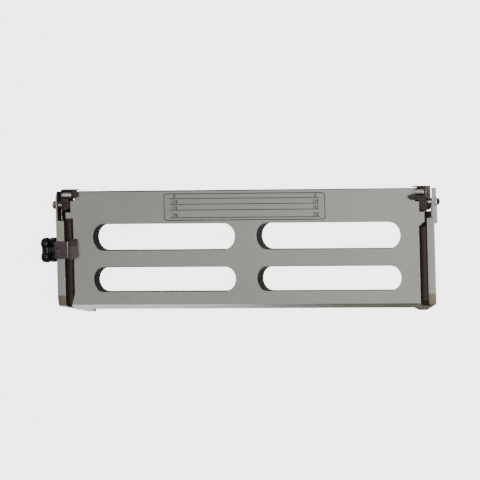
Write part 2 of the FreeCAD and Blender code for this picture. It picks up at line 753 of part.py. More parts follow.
def make_pivots():
    tip = d.notch_reach + d.pivot_thread
    washer = d.washer_thick
    head = washer + d.pan_height
    on_pivot("left_pivot_screw", LEFT,
             [(-head, 0), (-head, d.pan_radius * 0.62), (-(head - 0.7), d.pan_radius * 0.86),
              (-(head - 2), d.pan_radius), (-washer, d.pan_radius), (-washer, d.pivot_radius),
              (tip, d.pivot_radius), (tip, 0)])
    on_pivot("right_pivot_stud", RIGHT,
             [(-(d.nut_height + 0.6), 0), (-(d.nut_height + 0.6), d.pivot_radius * 0.7),
              (-d.nut_height, d.pivot_radius), (tip, d.pivot_radius), (tip, 0)])
    on_pivot("left_pivot_washer", LEFT, tube(-washer, 0, d.pivot_radius + d.thread_gap, d.washer_radius))
    nut = new_body("right_pivot_nut")
    corner = d.nut_flats / 2 / math.cos(math.pi / 6)
    centre_y, centre_z = at_y(d.pivot_rise), at_z(d.pivot_depth)
    turns = [math.pi * i / 3 for i in range(6)]
    hexagon = polygon([(centre_y + corner * math.cos(turn), centre_z + corner * math.sin(turn))
                       for turn in turns])
    bore = circle(centre_y, centre_z, d.pivot_radius + d.thread_gap)
    add(nut, "YZ_Plane", [hexagon, bore], at_x(RIGHT, 0), at_x(RIGHT, -d.nut_height))
    doc.recompute()
    cap = on_pivot("right_nut_cap", RIGHT,
                   [(-(d.nut_height + 0.7), 0), (-d.nut_reach, 0),
                    (-(d.nut_height + 0.9), d.pivot_radius),
                    (-(d.nut_height + 0.05), d.nut_flats / 2 - 0.3),
                    (-(d.nut_height + 0.05), d.pivot_radius + 0.3),
                    (-(d.nut_height + 0.7), d.pivot_radius - 0.3)])
    return cap


def make_lever_bush(side):
    end = d.lever_start + d.lever_width
    return on_pivot(f"{side}_lever_bush", side,
                    tube(d.lever_start - 0.1, end + 0.1, d.pivot_radius + d.thread_gap, d.bush_radius))


def on_roller_line(label, side, profile):
    points = [(at_x(side, reach), as_size(radius)) for reach, radius in profile]
    return turned(label, points, 0, at_y(d.roller_rise), at_z(0))


def make_roller(side):
    start = d.lever_start + d.cheek_width + 0.2
    end = start + d.roller_length
    inner, outer, bevel = d.roller_pin_radius + d.thread_gap, d.roller_radius, d.small_break
    return on_roller_line(f"{side}_roller", side,
                          [(start, inner), (start, outer - bevel), (start + bevel, outer),
                           (end - bevel, outer), (end, outer - bevel), (end, inner)])


def make_roller_pin(side):
    roller_end = d.lever_start + d.cheek_width + 0.2 + d.roller_length
    head = roller_end + 0.15
    tip = head + d.roller_pin_head_height
    return on_roller_line(f"{side}_roller_pin", side,
                          [(d.lever_start, 0), (d.lever_start, d.roller_pin_radius),
                           (head, d.roller_pin_radius),
                           (head, d.roller_pin_head), (tip, d.roller_pin_head), (tip, 0)])


def make_hinge_spring(side):
    """Coils round the pivot between ear and lever, swept along a helix, with a leg down the pocket."""
    wire, coil = d.wire_radius.number, d.coil_radius.number
    near = d.ear_thick.number + wire + d.spring_near_gap.number
    far = d.lever_start.number - wire - d.spring_far_gap.number
    pitch = (far - near) / SPRING_TURNS
    helix = Part.makeHelix(pitch, far - near, coil)
    start = FreeCAD.Vector(coil, 0, 0)
    profile = Part.Wire(Part.makeCircle(wire, start, FreeCAD.Vector(0, 1, 0)))
    coils = Part.Wire(helix.Edges).makePipeShell([profile], True, True)
    leg_length = d.pivot_rise.number - d.pocket_floor.number - d.spring_leg_gap.number
    leg = Part.makeCylinder(wire, leg_length, start, FreeCAD.Vector(0, -1, 0))
    shape = coils.fuse(leg).removeSplitter()
    lay = FreeCAD.Rotation(FreeCAD.Vector(0, 1, 0), 90)
    spring = doc.addObject("Part::Feature", f"{side}_hinge_spring")
    spring.Label = f"{side}_hinge_spring"
    if side == RIGHT:
        shape = shape.mirror(FreeCAD.Vector(0, 0, 0), FreeCAD.Vector(0, 0, 1))
    spring.Shape = shape
    x = at_x(side, near).number
    spring.Placement = FreeCAD.Placement(
        FreeCAD.Vector(x, at_y(d.pivot_rise).number, at_z(d.pivot_depth).number), lay)
    return spring


# ---- stop, sliding on the left rail ----------------------------------------------------------------

def side_line(depth):
    """Reach of the left rail's undercut outer side at a depth."""
    return (as_size(depth) - d.lip_edge) * d.foot_reach / (d.rail_depth - d.lip_edge)


def stop_span():
    return at_y(d.stop_floor), at_y(d.stop_floor + d.stop_height)


def make_stop_block():
    body = new_body("stop_block")
    gap = d.free_gap
    wall_in = -gap
    leg_end = d.stop_leg_depth
    inner = LIP[LEFT] + gap
    section = [(-d.stop_wall, -d.stop_proud), (inner + d.stop_inner_width, -d.stop_proud),
               (inner + d.stop_inner_width, d.stop_inner_depth), (inner, d.stop_inner_depth),
               (inner, -gap / 2),
               (wall_in, -gap / 2), (wall_in, d.lip_edge), (side_line(leg_end) - gap * 1.4, leg_end),
               (-d.stop_wall, leg_end)]
    outline = polygon([(at_x(LEFT, reach), at_z(as_size(depth))) for reach, depth in section])
    low, high = stop_span()
    add(body, "XZ_Plane", [outline], low, high)
    cut(body, "YZ_Plane", [circle(at_y(clamp_rise()), at_z(d.clamp_depth), d.stud_radius + d.free_gap / 3)],
        at_x(LEFT, -d.stop_wall - 1), at_x(LEFT, LIP[LEFT] - 2))
    holes = [circle(at_y(rise), at_z(d.stop_screw_depth), d.stop_screw_radius + d.thread_gap)
             for rise in stop_screw_rises()]
    cut(body, "YZ_Plane", holes, at_x(LEFT, inner - 1), at_x(LEFT, inner + d.stop_inner_width + 1))
    break_edges(body, d.small_break, lambda edge: lies_at_z(edge, at_z(-d.stop_proud)))
    return body


def clamp_rise():
    return d.stop_floor + d.stop_height / 2


def stop_screw_rises():
    return [clamp_rise() - d.stop_screw_spacing / 2, clamp_rise() + d.stop_screw_spacing / 2]


def finger_start():
    return LIP[LEFT] + d.free_gap + d.stop_inner_width


def gib_start():
    return finger_start() + d.finger_width


def make_stop_finger():
    """Shank in the groove and a nose that lies on the plate, with its upper end bevelled."""
    body = new_body("stop_finger")
    start, end = finger_start(), gib_start()
    centre = clamp_rise()
    shank = rectangle(at_x(LEFT, start), at_x(LEFT, end), at_y(centre - d.finger_height / 2),
                      at_y(centre + d.finger_height / 2))
    add(body, "XY_Plane", [shank], at_z(d.finger_depth), at_z(-d.stop_proud))
    nose = polygon([(at_x(LEFT, end - 1.5), at_y(d.nose_floor)), (at_x(LEFT, end + 1.2), at_y(d.nose_floor)),
                    (at_x(LEFT, d.nose_reach), at_y(d.nose_floor + d.nose_corner)),
                    (at_x(LEFT, d.nose_reach - 0.9), at_y(d.nose_top)),
                    (at_x(LEFT, end - 1.5), at_y(d.nose_top))])
    add(body, "XY_Plane", [nose], at_z(-d.nose_back), at_z(-d.nose_front))
    bevel = polygon([(at_y(d.nose_top - d.nose_bevel_height), at_z(-d.nose_front)),
                     (at_y(d.nose_top + 1), at_z(-(d.nose_back + 0.3))),
                     (at_y(d.nose_top + 1), at_z(-(d.nose_front + 1))),
                     (at_y(d.nose_top - d.nose_bevel_height), at_z(-(d.nose_front + 1)))])
    cut(body, "YZ_Plane", [bevel], at_x(LEFT, start - 1), at_x(LEFT, d.nose_reach + 1))
    holes = [circle(at_y(rise), at_z(d.stop_screw_depth), d.stop_screw_radius + d.thread_gap)
             for rise in stop_screw_rises()]
    cut(body, "YZ_Plane", holes, at_x(LEFT, start - 1), at_x(LEFT, end + 1))
    return body


def make_stop_gib():
    body = new_body("stop_gib")
    start = gib_start()
    centre = clamp_rise()
    strip = rectangle(at_y(centre - d.finger_height / 2), at_y(centre + d.finger_height / 2),
                      at_z(d.finger_depth), at_z(0.2))
    holes = [circle(at_y(rise), at_z(d.stop_screw_depth), d.stop_screw_radius + d.thread_gap)
             for rise in stop_screw_rises()]
    add(body, "YZ_Plane", [strip] + holes, at_x(LEFT, start), at_x(LEFT, start + d.gib_thick))
    return body


def make_stop_screws():
    """Flat-headed screws through gib and finger into the block."""
    body = new_body("stop_screws")
    end = gib_start() + d.gib_thick
    tip, head_end = end - d.stop_screw_length, end + d.stop_screw_rim
    head_radius = d.stop_screw_radius + d.stop_screw_rim
    profile = [(tip, 0), (tip, d.stop_screw_radius), (end, d.stop_screw_radius), (end, head_radius),
               (head_end, head_radius), (head_end, 0)]
    turn = body.newObject("PartDesign::Revolution", "stop_screws_turn")
    turn.Profile = new_sketch(body, "XZ_Plane", 0, [polygon([(at_x(LEFT, reach), as_size(radius))
                                                             for reach, radius in profile])])
    turn.ReferenceAxis = (origin_feature(body, "X_Axis"), [""])
    turn.Angle = 360
    body.Tip = turn
    repeat_up(body, [turn], d.stop_screw_spacing, 2)
    place(body, 0, at_y(stop_screw_rises()[0]), at_z(d.stop_screw_depth))
    return body


def on_clamp_line(label, profile):
    points = [(at_x(LEFT, reach), as_size(radius)) for reach, radius in profile]
    return turned(label, points, 0, at_y(clamp_rise()), at_z(d.clamp_depth))


def knob_face():
    return -(d.stop_wall + d.knob_gap)


def make_clamp_stud():
    tip = d.stud_tip
    shoulder = knob_face()
    back = shoulder - d.insert_length
    return on_clamp_line("clamp_stud", [(back, 0), (back, d.stud_radius), (tip - 0.5, d.stud_radius),
                                        (tip, d.stud_radius - 0.5), (tip, 0)])


def make_pressure_pad():
    """Brass plug whose end is cut to the slope of the rail's outer side."""
    body = new_body("pressure_pad")
    start = d.stud_tip + d.clamp_play
    end = LIP[LEFT] - 1
    centre_y, centre_z = at_y(clamp_rise()), at_z(d.clamp_depth)
    add(body, "YZ_Plane", [circle(centre_y, centre_z, d.pad_radius)], at_x(LEFT, start), at_x(LEFT, end))
    shallow, deep = d.lip_edge, d.clamp_depth + d.pad_radius + 1
    slope = polygon([(at_x(LEFT, side_line(shallow) - d.clamp_play), at_z(shallow)),
                     (at_x(LEFT, side_line(deep) - d.clamp_play), at_z(deep)),
                     (at_x(LEFT, end + 2), at_z(deep)), (at_x(LEFT, end + 2), at_z(shallow))])
    cut(body, "XZ_Plane", [slope], centre_y - d.pad_radius - 1, centre_y + d.pad_radius + 1)
    return body


def make_knob():
    """Four-lobed knob with a round hub that faces the stop block, and a blind hole for its insert."""
    body = new_body("knob")
    centre_y, centre_z = at_y(clamp_rise()), at_z(d.clamp_depth)
    outer = at_x(LEFT, -d.knob_reach)
    inner = outer + d.knob_width
    face = at_x(LEFT, knob_face())
    add(body, "YZ_Plane", [circle(centre_y, centre_z, d.knob_hub_radius + 1.2)], outer, inner)
    diagonal = d.knob_lobe_circle * math.sqrt(0.5)
    for across in (-diagonal, diagonal):
        for up in (-diagonal, diagonal):
            lobe = circle(centre_y + across, centre_z + up, d.knob_lobe_radius)
            add(body, "YZ_Plane", [lobe], outer, inner)
    add(body, "YZ_Plane", [circle(centre_y, centre_z, d.knob_hub_radius)], inner, face)
    cut(body, "YZ_Plane", [circle(centre_y, centre_z, d.insert_radius)], face - d.insert_length, face + 1)
    rim = outer.number
    break_edges(body, d.edge_break, lambda edge: all(abs(vertex.X - rim) < 1e-4 for vertex in edge.Vertexes))
    return body


def make_knob_insert():
    face = knob_face()
    return on_clamp_line("knob_insert", tube(face - d.insert_length, face, d.stud_radius, d.insert_radius))


# ---- scale plate ---------------------------------------------------------------------------------

def make_scale_plate():
    body = new_body("scale_plate")
    centre = d.jig_length / 2 + 2
    top = at_y(d.face_height - d.scale_top_gap)
    bottom = top - d.scale_height
    near, far = at_x(LEFT, centre - d.scale_width / 2), at_x(LEFT, centre + d.scale_width / 2)
    add(body, "XY_Plane", [rectangle(near, far, bottom, top)], at_z(0), at_z(-d.scale_thick))
    low, high = at_z(0).number, at_z(-d.scale_thick).number
    break_edges(body, d.scale_corner, lambda edge: len(edge.Vertexes) == 2 and abs(
        edge.Vertexes[0].Z + edge.Vertexes[1].Z - low - high) < 1e-4
        and abs(edge.Vertexes[0].Z - edge.Vertexes[1].Z) > 0.1)
    return body


# ---- the jig -------------------------------------------------------------------------------------

make_face_plate()
for side in SIDES:
    make_end_rail(side)
    make_groove_strip(side)
    make_strip_screws(side)
    make_rail_screws(side)
    make_rail_dowels(side)
    make_lever(side)
    make_lever_bush(side)
    make_roller(side)
    make_roller_pin(side)
    make_hinge_spring(side)
make_pivots()
make_stop_block()
make_stop_finger()
make_stop_gib()
make_stop_screws()
make_clamp_stud()
make_pressure_pad()
make_knob()
make_knob_insert()
make_scale_plate()
doc.recompute()

pieces = [item for item in doc.Objects if item.TypeId in ("PartDesign::Body", "Part::Feature")]
faults = [item.Name for item in doc.Objects if "Invalid" in item.State or "Error" in item.State]
for piece in pieces:
    if piece.Shape.isNull() or not piece.Shape.isValid() or not piece.Shape.Solids:
        faults.append(piece.Label)
if faults:
    raise RuntimeError("not sound: " + ", ".join(faults))

os.makedirs("parts", exist_ok=True)
for piece in pieces:
    piece.Shape.exportStep(f"parts/{piece.Label}.step")
    box = piece.Shape.BoundBox
    print(f"{piece.Label:22s} solids {len(piece.Shape.Solids)}  volume {piece.Shape.Volume:10.1f}  "
          f"X {box.XMin:8.2f} {box.XMax:8.2f}  Y {box.YMin:7.2f} {box.YMax:7.2f}  "
          f"Z {box.ZMin:6.2f} {box.ZMax:6.2f}")
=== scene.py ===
# %% [markdown]
# # Dovetail jig
#
# The jig is a slotted aluminium plate between two end rails. A stop slides on the left rail and is
# clamped by a four-lobed knob, and a sprung lever with a polished roller sits at each top corner. The
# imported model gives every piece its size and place. Here each piece gets its finish, and the pieces that
# catch the light get softer edges or are modelled again.

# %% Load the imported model
import json
import math

import bpy
from mathutils import Matrix, Vector


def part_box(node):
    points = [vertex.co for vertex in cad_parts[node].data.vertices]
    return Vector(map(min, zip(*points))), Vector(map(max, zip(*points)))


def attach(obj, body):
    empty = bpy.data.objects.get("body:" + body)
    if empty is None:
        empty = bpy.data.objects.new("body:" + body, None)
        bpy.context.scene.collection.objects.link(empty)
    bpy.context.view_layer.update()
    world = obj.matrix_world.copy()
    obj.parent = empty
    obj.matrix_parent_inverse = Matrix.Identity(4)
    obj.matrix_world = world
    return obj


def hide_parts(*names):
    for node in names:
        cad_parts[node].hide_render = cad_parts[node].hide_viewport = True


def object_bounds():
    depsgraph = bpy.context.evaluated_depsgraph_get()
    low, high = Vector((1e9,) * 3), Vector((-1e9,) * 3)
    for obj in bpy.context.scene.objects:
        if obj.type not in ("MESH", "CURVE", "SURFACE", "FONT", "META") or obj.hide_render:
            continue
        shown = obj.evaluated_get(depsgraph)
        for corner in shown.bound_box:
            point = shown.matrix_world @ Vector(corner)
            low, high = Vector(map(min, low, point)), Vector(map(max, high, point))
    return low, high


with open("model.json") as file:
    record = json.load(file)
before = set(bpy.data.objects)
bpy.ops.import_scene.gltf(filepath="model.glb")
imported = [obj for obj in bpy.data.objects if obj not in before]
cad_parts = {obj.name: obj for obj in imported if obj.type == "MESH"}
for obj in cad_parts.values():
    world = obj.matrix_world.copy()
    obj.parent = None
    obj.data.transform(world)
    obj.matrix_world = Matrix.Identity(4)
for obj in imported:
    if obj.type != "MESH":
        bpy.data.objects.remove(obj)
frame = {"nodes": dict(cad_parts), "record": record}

cad_low, cad_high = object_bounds()
nodes = frame["nodes"]
body_of = {}
for body_name, members in frame["record"]["behaviour"]["bodies"].items():
    for member in members:
        body_of[member] = body_name
slot_of = {row["node"]: row["material_slot"] for row in frame["record"]["subparts"]}
MM = 0.001
print("box of the jig in millimetres:", [round((high - low) / MM, 1) for low, high in zip(cad_low, cad_high)])

# %% [markdown]
# ## Camera
#
# The jig lies on its back and the camera looks down on its face from the right. A long lens a few metres
# away keeps parallel edges parallel, as in a catalogue picture. A camera could also be set to
# orthographic, but a long lens behaves like a real one when the view moves round the object.

# %% Camera
VIEW_YAW = math.radians(32)
VIEW_TILT = math.radians(1.7)
VIEW_ROLL = 0.026
LENS = 1000.0
SENSOR = 36.0
FRAME_WIDTH = 0.5543
LOOK_AT = Vector((0.95, 11.2, 24.0)) * MM

towards_camera = Vector((math.sin(VIEW_YAW) * math.cos(VIEW_TILT), math.sin(VIEW_TILT),
                         math.cos(VIEW_YAW) * math.cos(VIEW_TILT)))
picture_up = (Vector((0, 1, 0)) - towards_camera * towards_camera.y).normalized()
picture_right = picture_up.cross(towards_camera)
level = Matrix((picture_right, picture_up, towards_camera)).transposed().to_4x4()
bpy.ops.object.camera_add()
camera = bpy.context.object
camera.name = "long_lens"
camera.data.lens = LENS
camera.data.sensor_width = SENSOR
camera.data.clip_end = 50
camera.matrix_world = (Matrix.Translation(LOOK_AT + towards_camera * (FRAME_WIDTH * LENS / SENSOR))
                       @ level @ Matrix.Rotation(-VIEW_ROLL, 4, "Z"))
bpy.context.scene.camera = camera
print("camera stands", round((camera.location - LOOK_AT).length, 2), "m away")

# %% [markdown]
# ## Floor and light
#
# A product picture wants a pale floor with hardly any shadow. A large soft light stands on the right,
# where the plate looks coolest and brightest, a weaker warm one fills from the upper left, and the pale
# world does the rest.

# %% Floor and lights
FLOOR_GLOW = 5.5
FLOOR_GLOW_SHARE = 0.7
SKY_STRENGTH = 0.75
bpy.ops.mesh.primitive_plane_add(size=12, location=(0, 0, cad_low.z - 0.0002))
floor = bpy.context.object
floor.name = "pale_floor"
floor_paint = bpy.data.materials.new("pale_floor")
floor_paint.use_nodes = True
floor_shader = floor_paint.node_tree.nodes["Principled BSDF"]
floor_shader.inputs["Base Color"].default_value = (0.93, 0.93, 0.93, 1)
floor_shader.inputs["Roughness"].default_value = 0.9
floor_shader.inputs["Specular IOR Level"].default_value = 0.1
floor_glow = floor_paint.node_tree.nodes.new("ShaderNodeEmission")
floor_glow.inputs["Strength"].default_value = FLOOR_GLOW
floor_ray = floor_paint.node_tree.nodes.new("ShaderNodeLightPath")
floor_share = floor_paint.node_tree.nodes.new("ShaderNodeMixShader")
floor_seen = floor_paint.node_tree.nodes.new("ShaderNodeMath")
floor_seen.operation = "MULTIPLY"
floor_seen.inputs[1].default_value = FLOOR_GLOW_SHARE
floor_links = floor_paint.node_tree.links
floor_links.new(floor_ray.outputs["Is Camera Ray"], floor_seen.inputs[0])
floor_links.new(floor_seen.outputs[0], floor_share.inputs["Fac"])
floor_links.new(floor_shader.outputs["BSDF"], floor_share.inputs[1])
floor_links.new(floor_glow.outputs["Emission"], floor_share.inputs[2])
floor_out = floor_paint.node_tree.nodes["Material Output"]
floor_links.new(floor_share.outputs["Shader"], floor_out.inputs["Surface"])
floor.data.materials.append(floor_paint)


def soft_light(name, place, size, power, colour):
    """Square area light that looks at the middle of the jig."""
    bpy.ops.object.light_add(type="AREA", location=place)
    light = bpy.context.object
    light.name = name
    light.data.size = size
    light.data.energy = power
    light.data.color = colour
    light.rotation_euler = (-Vector(place)).to_track_quat("-Z", "Y").to_euler()
    return light


soft_light("window_right", (0.88, 0.0, 0.88), 0.65, 20, (0.95, 1.0, 0.97))
soft_light("fill_left", (-1.3, 0.9, 1.6), 1.4, 5, (1.0, 0.95, 0.90))
world = bpy.data.worlds.new("pale_room")
bpy.context.scene.world = world
world.use_nodes = True
sky = world.node_tree
sky_height = sky.nodes.new("ShaderNodeSeparateXYZ")
sky.links.new(sky.nodes.new("ShaderNodeTexCoord").outputs["Generated"], sky_height.inputs["Vector"])
sky_ramp = sky.nodes.new("ShaderNodeValToRGB")
sky.links.new(sky_height.outputs["Z"], sky_ramp.inputs["Fac"])
sky_bands = [(0.0, (0.10, 0.095, 0.09)), (0.42, (0.16, 0.155, 0.15)),
             (0.62, (0.62, 0.64, 0.66)), (1.0, (1.0, 1.0, 1.0))]
for place, colour in sky_bands[2:]:
    sky_ramp.color_ramp.elements.new(place)
for element, (place, colour) in zip(sky_ramp.color_ramp.elements, sky_bands):
    element.position = place
    element.color = (*colour, 1)
sky.links.new(sky_ramp.outputs["Color"], sky.nodes["Background"].inputs["Color"])
sky.nodes["Background"].inputs["Strength"].default_value = SKY_STRENGTH

# %% [markdown]
# ## Shared effects
#
# Blasted, cast and moulded surfaces all need fine speckle and slow, cloudy changes of tone. Each effect
# is a node group with its own sockets, so every material can use it at its own scale. A group puts out
# only masks, colours and heights, and the shader stays in the material.

# %% Node groups
def new_group(name, inputs, outputs):
    """Empty shader node group with float or colour sockets, and its input and output nodes."""
    group = bpy.data.node_groups.new(name, "ShaderNodeTree")
    for socket, kind, value in inputs:
        item = group.interface.new_socket(socket, in_out="INPUT", socket_type=kind)
        item.default_value = value
    for socket, kind in outputs:
        group.interface.new_socket(socket, in_out="OUTPUT", socket_type=kind)
    return group, group.nodes.new("NodeGroupInput"), group.nodes.new("NodeGroupOutput")


FLOAT, COLOUR = "NodeSocketFloat", "NodeSocketColor"


def noise(tree, scale, detail, roughness, coordinates):
    node = tree.nodes.new("ShaderNodeTexNoise")
    node.inputs["Detail"].default_value = detail
    node.inputs["Roughness"].default_value = roughness
    if isinstance(scale, float):
        node.inputs["Scale"].default_value = scale
    else:
        tree.links.new(scale, node.inputs["Scale"])
    tree.links.new(coordinates, node.inputs["Vector"])
    return node.outputs["Fac"]


def remap(tree, value, low, high, out_low=0.0, out_high=1.0):
    node = tree.nodes.new("ShaderNodeMapRange")
    for socket, number in (("From Min", low), ("From Max", high), ("To Min", out_low), ("To Max", out_high)):
        node.inputs[socket].default_value = number
    tree.links.new(value, node.inputs["Value"])
    return node.outputs["Result"]


def calculate(tree, operation, *values):
    node = tree.nodes.new("ShaderNodeMath")
    node.operation = operation
    for index, value in enumerate(values):
        tree.links.new(value, node.inputs[index])
    return node.outputs[0]


def blend_colours(tree, factor, first, second):
    node = tree.nodes.new("ShaderNodeMix")
    node.data_type = "RGBA"
    for socket, value in (("Factor", factor), ("A", first), ("B", second)):
        target = next(item for item in node.inputs if item.name == socket and item.enabled)
        if isinstance(value, (tuple, float)):
            target.default_value = value
        else:
            tree.links.new(value, target)
    return next(item for item in node.outputs if item.enabled)


def make_speckle_group():
    """Fine grit: a light-and-dark speckle and a height for the bump."""
    group, inside, outside = new_group(
        "speckle",
        [("Scale", FLOAT, 900.0), ("Dark", COLOUR, (0.2, 0.2, 0.2, 1)), ("Light", COLOUR, (0.5, 0.5, 0.5, 1))],
        [("Color", COLOUR), ("Height", FLOAT)])
    place = group.nodes.new("ShaderNodeTexCoord").outputs["Object"]
    grit = noise(group, inside.outputs["Scale"], 3.0, 0.65, place)
    group.links.new(blend_colours(group, remap(group, grit, 0.36, 0.64), inside.outputs["Dark"],
                                  inside.outputs["Light"]), outside.inputs["Color"])
    group.links.new(grit, outside.inputs["Height"])
    return group


def make_handling_group():
    """Slow cloudy tone and small scuffs, both as masks."""
    group, inside, outside = new_group(
        "handling", [("Cloud Scale", FLOAT, 9.0), ("Scuff Scale", FLOAT, 160.0)],
        [("Cloud", FLOAT), ("Scuff", FLOAT)])
    place = group.nodes.new("ShaderNodeTexCoord").outputs["Object"]
    cloud = noise(group, inside.outputs["Cloud Scale"], 4.0, 0.55, place)
    stretch = group.nodes.new("ShaderNodeMapping")
    stretch.inputs["Scale"].default_value = (1.0, 0.22, 1.0)
    group.links.new(place, stretch.inputs["Vector"])
    scuff = noise(group, inside.outputs["Scuff Scale"], 6.0, 0.7, stretch.outputs["Vector"])
    group.links.new(remap(group, cloud, 0.32, 0.68), outside.inputs["Cloud"])
    group.links.new(remap(group, scuff, 0.62, 0.74), outside.inputs["Scuff"])
    return group


def make_painted_shade_group():
    """Masks for painted shade and painted light on the end rails and plate, picked by how each face is turned
    and where it lies.
    """
    group, inside, outside = new_group(
        "painted_shade_and_light", [("Face Height", FLOAT, 0.024), ("Half Length", FLOAT, 0.2615)],
        [("Wall", FLOAT), ("Slope", FLOAT), ("Under", FLOAT), ("Along", FLOAT)])
    facing = group.nodes.new("ShaderNodeSeparateXYZ")
    group.links.new(group.nodes.new("ShaderNodeNewGeometry").outputs["True Normal"], facing.inputs["Vector"])
    place = group.nodes.new("ShaderNodeSeparateXYZ")
    group.links.new(group.nodes.new("ShaderNodeTexCoord").outputs["Object"], place.inputs["Vector"])
    # Painted shade: upright walls, the floors of recesses 3.5 to 5 mm below the face, and the top-edge
    # chamfers (darkest at the left end) are marked for a dark colour where the light does not reach.
    upright = remap(group, calculate(group, "ABSOLUTE", facing.outputs["Z"]), 0.35, 0.8, 1.0, 0.0)
    depth = calculate(group, "SUBTRACT", inside.outputs["Face Height"], place.outputs["Z"])
    pocket = calculate(group, "MULTIPLY", remap(group, depth, 0.0035, 0.0050),
                       remap(group, facing.outputs["Z"], 0.3, 0.6))
    beyond = calculate(group, "SUBTRACT", calculate(group, "ABSOLUTE", place.outputs["X"]),
                       inside.outputs["Half Length"])
    inner = remap(group, beyond, 0.0, 0.0004, 1.0, 0.0)
    lower_end = remap(group, place.outputs["Y"], -0.052, -0.051, 1.0, 0.0)
    upper_edge = calculate(group, "MULTIPLY", remap(group, facing.outputs["Y"], 0.45, 0.6),
                           remap(group, place.outputs["X"], -0.02, 0.16, 1.0, 0.25))
    shaded_faces = calculate(group, "MAXIMUM", calculate(group, "MAXIMUM", upright, pocket), upper_edge)
    group.links.new(calculate(group, "MULTIPLY", shaded_faces, inner), outside.inputs["Wall"])
    # Painted shade: lead-in bevels at the lower end that turn slightly down are marked for a darker tan.
    turned_away = remap(group, facing.outputs["Y"], -0.10, -0.05, 1.0, 0.0)
    group.links.new(calculate(group, "MULTIPLY", lower_end, turned_away), outside.inputs["Slope"])
    # Painted light: faces at the lower end that turn down are marked for a tone ramp along X, a painted
    # highlight at the left and painted shade at the right.
    turned_down = remap(group, facing.outputs["Y"], -0.4, -0.3, 1.0, 0.0)
    group.links.new(calculate(group, "MULTIPLY", lower_end, turned_down), outside.inputs["Under"])
    group.links.new(remap(group, place.outputs["X"], -0.19, 0.21), outside.inputs["Along"])
    return group


speckle_group = make_speckle_group()
handling_group = make_handling_group()
painted_shade_group = make_painted_shade_group()

# %% [markdown]
# ## Finishes
#
# Every finish is the same recipe with its own numbers: speckle gives the base tone, clouds shift it
# slowly towards a second tone, scuffs bare a brighter one, and the grit drives a bump. One function keeps
# the recipe, and each finish states its colours, scale, shine and metal.

# %% Materials
def use_group(tree, group, values):
    node = tree.nodes.new("ShaderNodeGroup")
    node.node_tree = group
    for socket, value in values.items():
        node.inputs[socket].default_value = value
    return node


def make_finish(name, dark, light, cloud, scuff, grit_scale, roughness, metallic, bump,
                cloud_scale=9.0, scuff_amount=0.35, cloud_amount=0.5, coat=0.0, specular=0.5,
                wall_shade=None, slope_shade=None, underside_light=()):
    """Principled material whose colour, roughness and bump all vary over the surface."""
    material = bpy.data.materials.new(name)
    material.use_nodes = True
    tree = material.node_tree
    shader = tree.nodes["Principled BSDF"]
    grain = use_group(tree, speckle_group, {"Scale": grit_scale, "Dark": (*dark, 1), "Light": (*light, 1)})
    wear = use_group(tree, handling_group, {"Cloud Scale": cloud_scale})
    clouded = blend_colours(tree, remap(tree, wear.outputs["Cloud"], 0, 1, 0, cloud_amount),
                            grain.outputs["Color"], (*cloud, 1))
    tone = blend_colours(tree, remap(tree, wear.outputs["Scuff"], 0, 1, 0, scuff_amount),
                         clouded, (*scuff, 1))
    # Painted shade and light: the wall and slope colours darken faces that the light misses, and the underside
    # ramp paints light and shade along the lower band.
    if wall_shade:
        shade_masks = use_group(tree, painted_shade_group, {})
        tone = blend_colours(tree, shade_masks.outputs["Wall"], tone, (*wall_shade, 1))
        tone = blend_colours(tree, shade_masks.outputs["Slope"], tone, (*slope_shade, 1))
        ramp = tree.nodes.new("ShaderNodeValToRGB")
        tree.links.new(shade_masks.outputs["Along"], ramp.inputs["Fac"])
        for place, colour in underside_light[2:]:
            ramp.color_ramp.elements.new(place)
        for element, (place, colour) in zip(ramp.color_ramp.elements, underside_light):
            element.position = place
            element.color = (*colour, 1)
        tone = blend_colours(tree, shade_masks.outputs["Under"], tone, ramp.outputs["Color"])
    tree.links.new(tone, shader.inputs["Base Color"])
    tree.links.new(remap(tree, wear.outputs["Cloud"], 0, 1, roughness - 0.05, roughness + 0.07),
                   shader.inputs["Roughness"])
    shader.inputs["Metallic"].default_value = metallic
    shader.inputs["Coat Weight"].default_value = coat
    shader.inputs["Specular IOR Level"].default_value = specular
    height = tree.nodes.new("ShaderNodeBump")
    height.inputs["Strength"].default_value = bump
    height.inputs["Distance"].default_value = 0.00006
    tree.links.new(grain.outputs["Height"], height.inputs["Height"])
    tree.links.new(height.outputs["Normal"], shader.inputs["Normal"])
    return material
